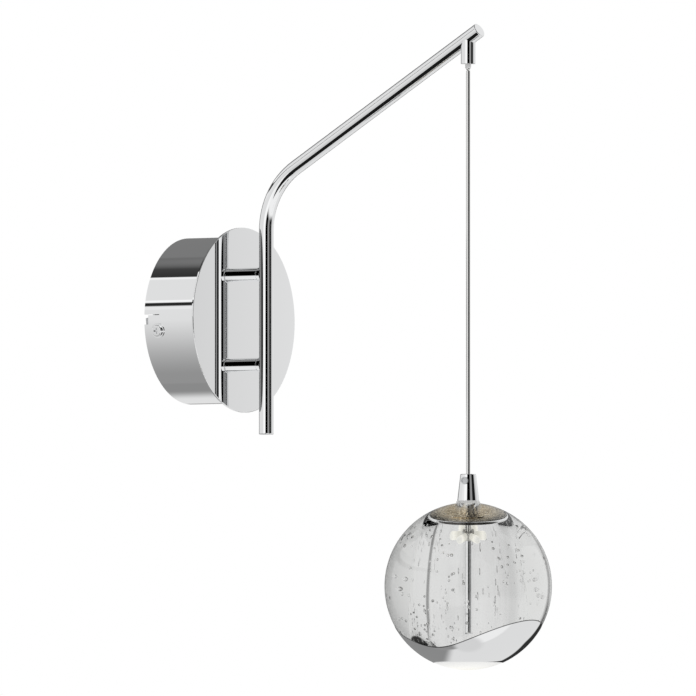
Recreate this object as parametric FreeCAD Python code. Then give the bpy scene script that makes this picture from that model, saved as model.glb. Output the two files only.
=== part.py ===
import FreeCAD, Part
import math
import os

# Hanging pendant wall light: canopy, upright rod with a sloping arm, cable, grip and bubbled glass ball.
# Millimetres. The wall is the plane Y = 0, the light stands out towards -Y, +Z is up, and the origin is
# the middle of the canopy on the wall.

V = FreeCAD.Vector
Y_AXIS = V(0, 1, 0)
Z_AXIS = V(0, 0, 1)

# ---- clearances ----
SLIP = 0.05          # radial play of a thread or a push fit
RUNNING = 0.06       # radial play where one part turns on another
PASS = 0.2           # radial play of a screw through a plain hole
AIR = 0.3            # gap between parts that move past each other
NEAR = 0.01          # two places closer than this are one place
BEYOND = 1.1         # factor that takes a cutter past what it cuts

# ---- canopy ----
CAN_RADIUS = 54.0
CAN_WALL = 1.0
CAN_EDGE_ROUND = 1.2
FACE_RADIUS = 60.0
FACE_THICK = 1.2
FACE_EDGE_ROUND = 0.35
FACE_DEPTH = 41.9            # wall to the front of the face
NOTCH_TOP = 2.8
NOTCH_HEIGHT = 6.5
NOTCH_DEPTH = 3.0
SLIT_LENGTH = 8.5
SLIT_HEIGHT = 0.5

# ---- wall bracket ----
PLATE = 1.5
STRAP_WIDTH = 26.0
STRAP_Z = -7.8
STRAP_INSET = 3.3            # from the strap's corners to the circle of the ears
DRIVER_MARGIN = 1.0          # plate beyond the driver
BLOCK_MARGIN = 5.0           # plate beyond the terminal block's ends
BLOCK_FOOT_MARGIN = 3.0      # plate below the terminal block
EAR_WIDTH = 16.0
EAR_HEIGHT = 17.0
EAR_GAP = 1.3                # between the canopy's wall and the ear
EAR_ROOT = 6.3               # of the ear's foot, within the strap
SIDE_SCREW_ANGLE = 8.3       # below the horizontal, in degrees
SIDE_SCREW_DEPTH = 10.2      # from the wall
SIDE_SCREW_RADIUS = 2.0
SIDE_HEAD_RADIUS = 3.7
SIDE_HEAD_THICK = 1.5
SIDE_WASHER_RADIUS = 4.85
SIDE_WASHER_THICK = 0.5
SIDE_SCREW_REACH = 3.0       # past the ear
RECESS_LENGTH = 4.0
RECESS_WIDTH = 0.9
RECESS_DEPTH = 1.1
SLOT_SPACING = 60.0
SLOT_LENGTH = 12.0
SLOT_WIDTH = 5.0
INLET_X = 13.0
INLET_BORE = 3.5
INLET_WALL = 2.0
INLET_FLANGE = 2.0           # beyond the barrel, and its thickness
EARTH_X = -13.0
SMALL_SCREW_RADIUS = 1.5
SMALL_HEAD_RADIUS = 2.8
SMALL_HEAD_THICK = 1.8
TAG_RADIUS = 4.2
TAG_THICK = 0.8
TAG_TAIL = 7.0

# ---- driver and terminal block ----
DRIVER_LENGTH = 62.0
DRIVER_HEIGHT = 23.0
DRIVER_DEPTH = 18.0
DRIVER_Z = 17.5
DRIVER_ROUND = 2.0
DRIVER_TAB = 6.0
DRIVER_TAB_THICK = 2.5
BLOCK_LENGTH = 30.0
BLOCK_HEIGHT = 17.0
BLOCK_DEPTH = 12.5
BLOCK_Z = -30.5
BLOCK_POLE_PITCH = 10.0
BLOCK_ENTRY_RADIUS = 1.9
BLOCK_SCREW_PITCH = 9.0
BLOCK_SCREW_RADIUS = 1.6
BLOCK_SCREW_THICK = 2.0
BLOCK_SCREW_SUNK = 1.0
LEAD_RADIUS = 1.1
LEAD_DEPTH = 8.0             # of the leads, from the wall
LEAD_BEND = 3.5

# ---- rod, arm and standoffs ----
ROD_RADIUS = 4.75
ROD_WALL = 1.0
ROD_DEPTH = 59.1             # wall to the rod's axis
ROD_FOOT_Z = -74.5
ARM_CORNER_Z = 84.4          # where the axes of rod and arm meet
ARM_SLOPE = 31.08            # degrees above the horizontal
ARM_PAST_OUTLET = 10.27      # along the axis, from the outlet's axis to the tip
ARM_BEND_RADIUS = 47.0
CAP_THICK = 1.2
CAP_ROUND = 0.6
CAP_SPIGOT = 4.0
STANDOFF_SPACING = 58.6
STANDOFF_RADIUS = 4.65
STANDOFF_BORE = 3.0
STUB_RADIUS = 4.0
STUB_REACH = 8.5             # inside the canopy, behind the face's front
STANDOFF_COLLAR_RADIUS = 5.1
STANDOFF_COLLAR_LENGTH = 2.4
STANDOFF_COLLAR_ROUND = 0.4
STANDOFF_GROOVE_DEPTH = 0.4
STANDOFF_GROOVE_LENGTH = 0.6
COLLAR_SADDLE = 2.6          # collar's end to the rod's axis
WASHER_RADIUS = 7.5
WASHER_THICK = 1.0
NUT_FLATS = 13.0
NUT_THICK = 4.0

# ---- outlet at the arm's tip, and the cable ----
OUTLET_DEPTH = 215.0         # wall to the cable's axis
OUTLET_DROP = 16.37          # from the arm's axis to the outlet tube's lower end
OUTLET_RADIUS = 4.7
OUTLET_WALL = 0.95
BUSH_LENGTH = 5.0
NOSE_RADIUS = 1.875
NOSE_LENGTH = 2.9
CABLE_RADIUS = 1.35
LEAD_TURN_AT_ROD = 5.5
LEAD_TURN_AT_OUTLET = 4.0
LEAD_TURN_IN_CANOPY = 5.0
PIVOT_BELOW_MOUTH = 0.3      # from the nose's mouth to the bead's middle
CABLE_TOP_ROUND = 0.5
CABLE_IN_GRIP = 9.0          # the end of the cable inside the grip

# ---- pendant ----
CABLE_DROP = 261.7           # from the bead's middle to the grip's top
GRIP_LENGTH = 17.6
GRIP_TOP_RADIUS = 5.05
GRIP_BASE_RADIUS = 7.1
GRIP_EDGE_ROUND = 0.5
GRIP_COLLAR = 5.0            # length of the close bore at the top
GRIP_CHAMBER_RADIUS = 3.5
GRIP_SCREW_DROP = 4.3        # below the grip's top
GRIP_SCREW_AZIMUTH = 188.95  # degrees from +X
GRIP_SCREW_RADIUS = 1.5
GRIP_HEAD_RADIUS = 2.35
GRIP_HEAD_THICK = 1.3
GRIP_HEAD_DISH_RADIUS = 1.7
GRIP_HEAD_DISH = 0.35
NIPPLE_RADIUS = 5.0
NIPPLE_BORE = 3.5
NIPPLE_IN_GRIP = 7.0
BALL_RADIUS = 54.0
SEAL_THICK = 0.7             # between the grip's base and the ball's highest point
SEAL_LAP = 0.7               # of the seal over the edge of the ball's hole
GLASS_BUSH_WALL = 1.3
GLASS_BUSH_LENGTH = 6.0
GLASS_BUSH_INSET = 1.2       # below the ball's highest point
BUSH_RIB = 0.45
BUSH_RIB_COUNT = 18
NECK_RADIUS = 6.0
GLASS_ABOVE_HOLLOW = 18.0    # from the hollow's ceiling to the ball's highest point
CAVITY_TOP_RADIUS = 20.5
CAVITY_MID_RADIUS = 24.4
CAVITY_MID = 5.0             # heights of the hollow and of the coating are from the middle of the ball
CAVITY_WIDE_RADIUS = 26.7
CAVITY_WIDE = -19.0
CAVITY_LOW_RADIUS = 25.4
CAVITY_LOW = -32.0
CAVITY_ROUND = 2.0
OPENING_RADIUS = 20.0
LENS_SEAT_RADIUS = 22.0
LENS_THICK = 7.0             # from its seat to the ball's lowest point
LENS_LIP = 3.5               # height of the glass lip above the lens
GASKET_THICK = 0.8
GASKET_RADIUS = 12.0
SPREADER_RADIUS = 19.2
SPREADER_THICK = 2.5
HUB_BELOW_NIPPLE = 5.0
HUB_FLATS = 7.6
HUB_HEIGHT = 3.4
LED_COUNT = 6                # one on each side of the hub
LED_AZIMUTH = 3.2            # of the first LED, in degrees from +X
CHIP_SIDE = 2.0
CHIP_THICK = 0.6
LED_LENS_LENGTH = 8.6
LED_LENS_BASE_RADIUS = 1.6
LED_LENS_WIDE_RADIUS = 1.9
PLATE_NUT_FLATS = 13.0
PLATE_NUT_THICK = 3.0
NIPPLE_BELOW_NUT = 1.2
PLUG_THICK = 4.0
TUBE_RADIUS = 2.25
TUBE_WALL = 0.5
TUBE_BELOW_NIPPLE = 48.5
TIP_LENGTH = 5.0
TIP_SHOULDER = 1.2
PENDANT_WIRE_RADIUS = 0.4
PENDANT_WIRE_BEND = 1.2
COATING_THICK = 0.2
COATING_MEAN = -31.1
COATING_WAVE = 8.8
COATING_LOBES = 2
COATING_CREST_AZIMUTH = -88.8
COATING_EDGE_POINTS = 24

# ---- places that follow from the sizes above ----
CAN_DEPTH = FACE_DEPTH - FACE_THICK
CAN_INNER_RADIUS = CAN_RADIUS - CAN_WALL
EAR_OUTER = CAN_INNER_RADIUS - EAR_GAP
STRAP_HALF_LENGTH = math.sqrt(EAR_OUTER ** 2 - (STRAP_WIDTH / 2 - STRAP_Z) ** 2) - STRAP_INSET
UPPER_TAB_HALF_WIDTH = DRIVER_LENGTH / 2 + DRIVER_TAB + DRIVER_MARGIN
UPPER_TAB_TOP = DRIVER_Z + DRIVER_HEIGHT / 2 + DRIVER_MARGIN
LOWER_TAB_HALF_WIDTH = BLOCK_LENGTH / 2 + BLOCK_MARGIN
LOWER_TAB_BOTTOM = BLOCK_Z - BLOCK_HEIGHT / 2 - BLOCK_FOOT_MARGIN
ARM_RISE = math.sin(math.radians(ARM_SLOPE))
ARM_RUN = math.cos(math.radians(ARM_SLOPE))
ARM_DIRECTION = V(0, -ARM_RUN, ARM_RISE)
ARM_CORNER = V(0, -ROD_DEPTH, ARM_CORNER_Z)
ROD_FOOT = V(0, -ROD_DEPTH, ROD_FOOT_Z)
OUTLET_TOP = ARM_CORNER + ARM_DIRECTION * ((OUTLET_DEPTH - ROD_DEPTH) / ARM_RUN)
ARM_TIP = OUTLET_TOP + ARM_DIRECTION * ARM_PAST_OUTLET
ROD_BORE = ROD_RADIUS - ROD_WALL
OUTLET_BORE = OUTLET_RADIUS - OUTLET_WALL
OUTLET_BOTTOM_Z = OUTLET_TOP.z - OUTLET_DROP
MOUTH_Z = OUTLET_BOTTOM_Z - NOSE_LENGTH
PIVOT_Z = MOUTH_Z - PIVOT_BELOW_MOUTH
CABLE_TOP_Z = PIVOT_Z - CABLE_RADIUS - SLIP
GRIP_TOP_Z = PIVOT_Z - CABLE_DROP
CABLE_END_Z = GRIP_TOP_Z - CABLE_IN_GRIP
GRIP_BASE_Z = GRIP_TOP_Z - GRIP_LENGTH
BALL_DROP = BALL_RADIUS + SEAL_THICK
BALL_Z = GRIP_BASE_Z - BALL_DROP
BUSH_OUTER = NIPPLE_RADIUS + SLIP + GLASS_BUSH_WALL
BUSH_TOP = BALL_RADIUS - GLASS_BUSH_INSET
BUSH_BOTTOM = BUSH_TOP - GLASS_BUSH_LENGTH
BALL_HOLE_RADIUS = BUSH_OUTER + BUSH_RIB * 3 / 4 + PASS
SEAL_RADIUS = BALL_HOLE_RADIUS + SEAL_LAP
CEILING = BALL_RADIUS - GLASS_ABOVE_HOLLOW
LENS_SEAT = LENS_THICK - BALL_RADIUS
CAVITY_FLOOR = LENS_SEAT + LENS_LIP
SPREADER_TOP = CEILING - GASKET_THICK
SPREADER_BOTTOM = SPREADER_TOP - SPREADER_THICK
NUT_BOTTOM = SPREADER_BOTTOM - PLATE_NUT_THICK
NIPPLE_BOTTOM = NUT_BOTTOM - NIPPLE_BELOW_NUT
HUB_TOP = NIPPLE_BOTTOM - HUB_BELOW_NIPPLE
HUB_MIDDLE = HUB_TOP - HUB_HEIGHT / 2
TUBE_BOTTOM = NIPPLE_BOTTOM - TUBE_BELOW_NIPPLE
PENDANT_WIRE_OFFSET = (TUBE_RADIUS + NIPPLE_BORE) / 2
DRIVER_FRONT = PLATE + DRIVER_DEPTH


def cylinder(radius, start, end):
    step = end - start
    return Part.makeCylinder(radius, step.Length, start, step)


def ring(outer, inner, start, end):
    return cylinder(outer, start, end).cut(cylinder(inner, start, end))


def block(low, high):
    size = high - low
    return Part.makeBox(size.x, size.y, size.z, low)


def line(start, end):
    return Part.LineSegment(start, end).toShape()


def arc(start, middle, end):
    return Part.Arc(start, middle, end).toShape()


def revolved(edges, origin, axis):
    return Part.Face(Part.Wire(edges)).revolve(origin, axis, 360)


def edges_round(shape, centre):
    """The circular edges of a shape whose centre is at a point."""
    return [edge for edge in shape.Edges
            if len(edge.Vertexes) == 1 and edge.CenterOfMass.distanceToPoint(centre) < NEAR]


def polygon_edges(points):
    return [line(points[i], points[(i + 1) % len(points)]) for i in range(len(points))]


def hexagon(flats, bore, start, end):
    corner = flats / 2 / math.cos(math.radians(30))
    points = [V(corner * math.cos(math.radians(60 * i)), corner * math.sin(math.radians(60 * i)), 0)
              for i in range(6)]
    step = end - start
    bar = Part.Face(Part.Wire(polygon_edges(points))).extrude(V(0, 0, step.Length))
    bar.Placement = FreeCAD.Placement(start, FreeCAD.Rotation(Z_AXIS, step))
    return bar.cut(cylinder(bore, start, end))


def rounded_path(points, radii):
    """A wire of straight runs, with a tangent arc of the given radius at each inner point."""
    edges = []
    last = points[0]
    for i in range(1, len(points) - 1):
        back = (points[i - 1] - points[i]).normalize()
        ahead = (points[i + 1] - points[i]).normalize()
        half = back.getAngle(ahead) / 2
        reach = radii[i - 1] / math.tan(half)
        inward = (back + ahead).normalize()
        centre = points[i] + inward * (radii[i - 1] / math.sin(half))
        entry = points[i] + back * reach
        leave = points[i] + ahead * reach
        edges.append(line(last, entry))
        edges.append(arc(entry, centre - inward * radii[i - 1], leave))
        last = leave
    edges.append(line(last, points[-1]))
    return Part.Wire(edges)


def pipe(points, radii, radius):
    path = rounded_path(points, radii)
    section = Part.Wire(Part.Circle(points[0], points[1] - points[0], radius).toShape())
    solid = path.makePipeShell([section], True, False)
    return Part.Solid(solid) if solid.ShapeType == "Shell" else solid


def about_y(shape, degrees):
    turned = shape.copy()
    turned.rotate(V(0, 0, 0), Y_AXIS, degrees)
    return turned


def about_pendant(shape, degrees):
    turned = shape.copy()
    turned.rotate(pendant_point(0, 0), Z_AXIS, degrees)
    return turned


def pendant_point(radius, height):
    """A point on the pendant's axial plane, by its distance from the axis and its height above the ball."""
    return V(radius, -OUTLET_DEPTH, BALL_Z + height)


def on_axis(height):
    return pendant_point(0, height)


def sphere_height(sphere, radius):
    return math.sqrt(sphere ** 2 - radius ** 2)


def save(name, shapes):
    solids = shapes if isinstance(shapes, list) else [shapes]
    whole = solids[0] if len(solids) == 1 else Part.makeCompound(solids)
    whole.exportStep(os.path.join("parts", name + ".step"))


# ---- canopy ----

def standoff_heights():
    return [STANDOFF_SPACING / 2, -STANDOFF_SPACING / 2]


def side_axis(side):
    """Outward direction of a side screw: -1 is the left side, +1 the right side."""
    angle = math.radians(SIDE_SCREW_ANGLE)
    return V(side * math.cos(angle), 0, -math.sin(angle))


def side_point(side, distance):
    return side_axis(side) * distance + V(0, -SIDE_SCREW_DEPTH, 0)


def canopy_can():
    back = V(0, 0, 0)
    front = V(0, -CAN_DEPTH, 0)
    body = cylinder(CAN_RADIUS, back, front)
    body = body.makeFillet(CAN_EDGE_ROUND, edges_round(body, front))
    can = body.cut(cylinder(CAN_INNER_RADIUS, back, front + Y_AXIS * CAN_WALL))
    for height in standoff_heights():
        can = can.cut(cylinder(STUB_RADIUS + PASS, V(0, 0, height), V(0, -FACE_DEPTH, height)))
    for side in (-1, 1):
        outside = side_point(side, CAN_RADIUS * BEYOND)
        hole = cylinder(SIDE_SCREW_RADIUS + PASS, side_point(side, EAR_OUTER), outside)
        near = side * (CAN_INNER_RADIUS - SIDE_WASHER_RADIUS)
        far = side * (CAN_RADIUS + CAN_WALL)
        low_x = min(near, far)
        high_x = max(near, far)
        notch = block(V(low_x, -NOTCH_DEPTH, NOTCH_TOP - NOTCH_HEIGHT), V(high_x, CAN_WALL, NOTCH_TOP))
        slit = block(V(low_x, -NOTCH_DEPTH - SLIT_LENGTH, NOTCH_TOP - SLIT_HEIGHT), V(high_x, 0, NOTCH_TOP))
        can = can.cut(hole).cut(notch).cut(slit)
    return can


def canopy_face():
    front = V(0, -FACE_DEPTH, 0)
    face = cylinder(FACE_RADIUS, V(0, -CAN_DEPTH, 0), front)
    face = face.makeFillet(FACE_EDGE_ROUND, edges_round(face, front))
    for height in standoff_heights():
        face = face.cut(cylinder(STUB_RADIUS + PASS, V(0, 0, height), V(0, -FACE_DEPTH, height)))
    return face


# ---- wall bracket and its fixings ----

def slot(centre_x):
    run = SLOT_LENGTH - SLOT_WIDTH
    low = V(centre_x - run / 2, -PLATE, STRAP_Z - SLOT_WIDTH / 2)
    high = V(centre_x + run / 2, 0, STRAP_Z + SLOT_WIDTH / 2)
    cutter = block(low, high)
    for end in (centre_x - run / 2, centre_x + run / 2):
        cutter = cutter.fuse(cylinder(SLOT_WIDTH / 2, V(end, 0, STRAP_Z), V(end, -PLATE, STRAP_Z)))
    return cutter


def driver_screw_places():
    reach = (DRIVER_LENGTH + DRIVER_TAB) / 2
    return [V(-reach, 0, DRIVER_Z), V(reach, 0, DRIVER_Z)]


def block_screw_places():
    return [V(-BLOCK_POLE_PITCH / 2, 0, BLOCK_Z), V(BLOCK_POLE_PITCH / 2, 0, BLOCK_Z)]


def wall_bracket():
    strap_top = STRAP_Z + STRAP_WIDTH / 2
    strap_bottom = STRAP_Z - STRAP_WIDTH / 2
    plate = block(V(-STRAP_HALF_LENGTH, -PLATE, strap_bottom), V(STRAP_HALF_LENGTH, 0, strap_top))
    plate = plate.fuse(block(V(-UPPER_TAB_HALF_WIDTH, -PLATE, strap_bottom),
                             V(UPPER_TAB_HALF_WIDTH, 0, UPPER_TAB_TOP)))
    plate = plate.fuse(block(V(-LOWER_TAB_HALF_WIDTH, -PLATE, LOWER_TAB_BOTTOM),
                             V(LOWER_TAB_HALF_WIDTH, 0, strap_top)))
    for turn in (SIDE_SCREW_ANGLE, 180 - SIDE_SCREW_ANGLE):
        foot = block(V(STRAP_HALF_LENGTH - EAR_ROOT, -PLATE, -EAR_WIDTH / 2),
                     V(EAR_OUTER, 0, EAR_WIDTH / 2))
        ear = block(V(EAR_OUTER - PLATE, -EAR_HEIGHT, -EAR_WIDTH / 2), V(EAR_OUTER, 0, EAR_WIDTH / 2))
        plate = plate.fuse(about_y(foot.fuse(ear), turn))
    for side in (-1, 1):
        plate = plate.cut(cylinder(SIDE_SCREW_RADIUS + SLIP, side_point(side, EAR_OUTER - PLATE * 2),
                                   side_point(side, CAN_RADIUS)))
        plate = plate.cut(slot(side * SLOT_SPACING / 2))
    holes = [(V(INLET_X, 0, STRAP_Z), INLET_BORE + INLET_WALL + SLIP),
             (V(EARTH_X, 0, STRAP_Z), SMALL_SCREW_RADIUS + SLIP)]
    holes += [(place, SMALL_SCREW_RADIUS + SLIP) for place in driver_screw_places() + block_screw_places()]
    for place, radius in holes:
        plate = plate.cut(cylinder(radius, place, place - Y_AXIS * PLATE))
    return plate.removeSplitter()


def cross_recess(top, axis, across):
    """Cutter for a cross recess, sunk into a screw's head along its axis from the middle of its top."""
    third = axis.cross(across)
    cutter = None
    for long_way, short_way in ((across, third), (third, -across)):
        corner = top - long_way * (RECESS_LENGTH / 2) - short_way * (RECESS_WIDTH / 2) - axis * RECESS_DEPTH
        bar = Part.makeBox(RECESS_LENGTH, RECESS_WIDTH, RECESS_DEPTH * 2)
        turn = FreeCAD.Matrix(long_way.x, short_way.x, axis.x, corner.x,
                              long_way.y, short_way.y, axis.y, corner.y,
                              long_way.z, short_way.z, axis.z, corner.z,
                              0, 0, 0, 1)
        bar.Placement = FreeCAD.Placement(turn)
        cutter = bar if cutter is None else cutter.fuse(bar)
    return cutter


def side_screw(side):
    axis = side_axis(side)
    under_head = side_point(side, CAN_RADIUS + SIDE_WASHER_THICK)
    top = under_head + axis * SIDE_HEAD_THICK
    head = cylinder(SIDE_HEAD_RADIUS, under_head, top)
    head = head.makeFillet(SIDE_HEAD_THICK / 2, edges_round(head, top))
    shank = cylinder(SIDE_SCREW_RADIUS, side_point(side, EAR_OUTER - PLATE - SIDE_SCREW_REACH), under_head)
    return head.fuse(shank).cut(cross_recess(top, axis, Y_AXIS)).removeSplitter()


def side_washer(side):
    return ring(SIDE_WASHER_RADIUS, SIDE_SCREW_RADIUS + PASS, side_point(side, CAN_RADIUS),
                side_point(side, CAN_RADIUS + SIDE_WASHER_THICK))


def small_screw(place, under_head_depth):
    """A screw that is driven towards the wall, with its head this far from the wall."""
    under_head = place - Y_AXIS * under_head_depth
    top = under_head - Y_AXIS * SMALL_HEAD_THICK
    head = cylinder(SMALL_HEAD_RADIUS, under_head, top)
    driver_slot = block(V(-SMALL_HEAD_RADIUS, 0, -RECESS_WIDTH / 2),
                        V(SMALL_HEAD_RADIUS, RECESS_DEPTH, RECESS_WIDTH / 2))
    driver_slot.translate(top)
    return head.cut(driver_slot).fuse(cylinder(SMALL_SCREW_RADIUS, place, under_head))


def inlet_grommet():
    place = V(INLET_X, 0, STRAP_Z)
    barrel_radius = INLET_BORE + INLET_WALL
    front = place - Y_AXIS * PLATE
    tip = front - Y_AXIS * INLET_FLANGE
    barrel = cylinder(barrel_radius, place, front)
    flange = cylinder(barrel_radius + INLET_FLANGE, front, tip)
    return barrel.fuse(flange).cut(cylinder(INLET_BORE, place, tip)).removeSplitter()


def earth_tag():
    place = V(EARTH_X, -PLATE, STRAP_Z)
    top = place - Y_AXIS * TAG_THICK
    tail = block(V(EARTH_X - LEAD_RADIUS, -PLATE - TAG_THICK, STRAP_Z - TAG_RADIUS - TAG_TAIL / 2),
                 V(EARTH_X + LEAD_RADIUS, -PLATE, STRAP_Z))
    return cylinder(TAG_RADIUS, place, top).fuse(tail).cut(cylinder(SMALL_SCREW_RADIUS + PASS, place, top))


# ---- driver, terminal block and inside wiring ----

def led_driver():
    low = V(-DRIVER_LENGTH / 2, -DRIVER_FRONT, DRIVER_Z - DRIVER_HEIGHT / 2)
    high = V(DRIVER_LENGTH / 2, -PLATE, DRIVER_Z + DRIVER_HEIGHT / 2)
    case = block(low, high)
    along_y = [edge for edge in case.Edges if edge.BoundBox.YLength > DRIVER_DEPTH / 2]
    case = case.makeFillet(DRIVER_ROUND, along_y)
    reach = DRIVER_LENGTH / 2 + DRIVER_TAB
    tabs = block(V(-reach, -PLATE - DRIVER_TAB_THICK, DRIVER_Z - DRIVER_TAB),
                 V(reach, -PLATE, DRIVER_Z + DRIVER_TAB))
    driver = case.fuse(tabs)
    for place in driver_screw_places():
        driver = driver.cut(cylinder(SMALL_SCREW_RADIUS + PASS, place, place - Y_AXIS * DRIVER_FRONT))
    return driver.removeSplitter()


def pole_places():
    return [-BLOCK_POLE_PITCH, 0, BLOCK_POLE_PITCH]


def block_screw_front():
    return PLATE + BLOCK_DEPTH


def terminal_screw_places():
    return [V(x, 0, BLOCK_Z + side * BLOCK_SCREW_PITCH / 2) for x in pole_places() for side in (-1, 1)]


def terminal_block():
    low = V(-BLOCK_LENGTH / 2, -block_screw_front(), BLOCK_Z - BLOCK_HEIGHT / 2)
    high = V(BLOCK_LENGTH / 2, -PLATE, BLOCK_Z + BLOCK_HEIGHT / 2)
    body = block(low, high)
    front = block_screw_front()
    for x in pole_places():
        start = V(x, -LEAD_DEPTH, BLOCK_Z - BLOCK_HEIGHT / 2)
        body = body.cut(cylinder(BLOCK_ENTRY_RADIUS, start, start + Z_AXIS * (BLOCK_HEIGHT / 4)))
    sunk = BLOCK_SCREW_SUNK + BLOCK_SCREW_THICK
    for place in terminal_screw_places():
        body = body.cut(cylinder(BLOCK_SCREW_RADIUS + PASS, place - Y_AXIS * (front - sunk),
                                 place - Y_AXIS * front))
    for place in block_screw_places():
        body = body.cut(cylinder(SMALL_SCREW_RADIUS + PASS, place, place - Y_AXIS * front))
        body = body.cut(cylinder(SMALL_HEAD_RADIUS + PASS, place - Y_AXIS * (front - SMALL_HEAD_THICK),
                                 place - Y_AXIS * front))
    return body


def terminal_screw(place):
    front = block_screw_front() - BLOCK_SCREW_SUNK
    start = place - Y_AXIS * (front - BLOCK_SCREW_THICK)
    end = place - Y_AXIS * front
    groove = block(V(-BLOCK_SCREW_RADIUS, 0, -RECESS_WIDTH / 2),
                   V(BLOCK_SCREW_RADIUS, RECESS_WIDTH, RECESS_WIDTH / 2))
    groove.translate(end)
    return cylinder(BLOCK_SCREW_RADIUS, start, end).cut(groove)


def power_lead(pole_x, driver_x):
    top_of_block = BLOCK_Z + BLOCK_HEIGHT / 2
    foot_of_driver = DRIVER_Z - DRIVER_HEIGHT / 2
    third = (foot_of_driver - top_of_block) / 3
    points = [V(pole_x, -LEAD_DEPTH, top_of_block),
              V(pole_x, -LEAD_DEPTH, top_of_block + third),
              V(driver_x, -LEAD_DEPTH, foot_of_driver - third),
              V(driver_x, -LEAD_DEPTH, foot_of_driver)]
    return pipe(points, [LEAD_BEND, LEAD_BEND], LEAD_RADIUS)


def earth_lead():
    top_of_block = BLOCK_Z + BLOCK_HEIGHT / 2
    tail_end = STRAP_Z - TAG_RADIUS - TAG_TAIL / 2
    tag_depth = PLATE + TAG_THICK + LEAD_RADIUS
    points = [V(-BLOCK_POLE_PITCH, -LEAD_DEPTH, top_of_block),
              V(-BLOCK_POLE_PITCH, -LEAD_DEPTH, (top_of_block + tail_end) / 2),
              V(EARTH_X, -tag_depth, tail_end),
              V(EARTH_X, -tag_depth, STRAP_Z - TAG_RADIUS)]
    return pipe(points, [LEAD_RADIUS, LEAD_RADIUS], LEAD_RADIUS)


def arm_lead():
    height = STANDOFF_SPACING / 2
    driver_top = DRIVER_Z + DRIVER_HEIGHT / 2
    lead_depth = PLATE + DRIVER_DEPTH / 2
    start_x = DRIVER_LENGTH / 4
    clear_top = driver_top + LEAD_TURN_IN_CANOPY * 2
    stub_end = FACE_DEPTH - STUB_REACH
    points = [V(start_x, -lead_depth, driver_top),
              V(start_x, -lead_depth, clear_top),
              V(0, -lead_depth - LEAD_RADIUS, clear_top),
              V(0, -stub_end + LEAD_TURN_IN_CANOPY, height),
              V(0, -ROD_DEPTH, height),
              ARM_CORNER,
              OUTLET_TOP,
              V(0, -OUTLET_DEPTH, PIVOT_Z + CABLE_RADIUS + AIR)]
    radii = [LEAD_TURN_IN_CANOPY, LEAD_TURN_IN_CANOPY, LEAD_TURN_IN_CANOPY,
             LEAD_TURN_AT_ROD, ARM_BEND_RADIUS, LEAD_TURN_AT_OUTLET]
    return pipe(points, radii, CABLE_RADIUS)


# ---- standoffs, rod and arm ----

def standoff(height):
    """One standoff: a stub through the canopy, a body, and a collar coped to the rod."""
    stub_end = V(0, STUB_REACH - FACE_DEPTH, height)
    face_front = V(0, -FACE_DEPTH, height)
    collar_end = V(0, -(ROD_DEPTH - COLLAR_SADDLE), height)
    collar_start = collar_end + Y_AXIS * STANDOFF_COLLAR_LENGTH
    groove_start = collar_start + Y_AXIS * STANDOFF_GROOVE_LENGTH
    stub = cylinder(STUB_RADIUS, stub_end, collar_start)
    body = cylinder(STANDOFF_RADIUS, face_front, groove_start)
    groove = cylinder(STANDOFF_RADIUS - STANDOFF_GROOVE_DEPTH, groove_start, collar_start)
    collar = cylinder(STANDOFF_COLLAR_RADIUS, collar_start, collar_end)
    near_face = [edge for edge in collar.Edges if edge.BoundBox.YMin > collar_start.y - STANDOFF_COLLAR_ROUND]
    collar = collar.makeFillet(STANDOFF_COLLAR_ROUND, near_face)
    whole = stub.fuse(body).fuse(groove).fuse(collar)
    whole = whole.cut(cylinder(ROD_RADIUS, ROD_FOOT, ARM_CORNER))
    whole = whole.cut(cylinder(STANDOFF_BORE, V(0, 0, height), V(0, -ROD_DEPTH, height)))
    return whole.removeSplitter()


def standoff_washer(height):
    start = V(0, CAN_WALL - CAN_DEPTH, height)
    return ring(WASHER_RADIUS, STUB_RADIUS + SLIP, start, start + Y_AXIS * WASHER_THICK)


def standoff_nut(height):
    start = V(0, CAN_WALL - CAN_DEPTH + WASHER_THICK, height)
    return hexagon(NUT_FLATS, STUB_RADIUS + SLIP, start, start + Y_AXIS * NUT_THICK)


def arm_rod(radius, foot, tip):
    return pipe([foot, ARM_CORNER, tip], [ARM_BEND_RADIUS], radius)


def arm_tube():
    foot = ROD_FOOT + Z_AXIS * CAP_THICK
    tip = ARM_TIP - ARM_DIRECTION * CAP_THICK
    tube = arm_rod(ROD_RADIUS, foot, tip)
    tube = tube.cut(arm_rod(ROD_BORE, foot, tip))
    for height in standoff_heights():
        tube = tube.cut(cylinder(STANDOFF_BORE, V(0, -ROD_DEPTH + ROD_RADIUS * 2, height),
                                 V(0, -ROD_DEPTH, height)))
    return tube.cut(cylinder(STANDOFF_BORE, OUTLET_TOP - Z_AXIS * ROD_RADIUS * 2, OUTLET_TOP))


def end_cap(end, outward):
    """A cap that closes a tube end: a rounded disc with a spigot in the bore."""
    seat = end - outward * CAP_THICK
    disc = cylinder(ROD_RADIUS, seat, end)
    disc = disc.makeFillet(CAP_ROUND, edges_round(disc, end))
    return disc.fuse(cylinder(ROD_BORE - SLIP, seat - outward * CAP_SPIGOT, seat)).removeSplitter()


def cable_outlet_tube():
    bottom = V(0, -OUTLET_DEPTH, OUTLET_BOTTOM_Z)
    tube = ring(OUTLET_RADIUS, OUTLET_BORE, bottom, OUTLET_TOP)
    return tube.cut(cylinder(ROD_RADIUS, ARM_CORNER, ARM_TIP))


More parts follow.
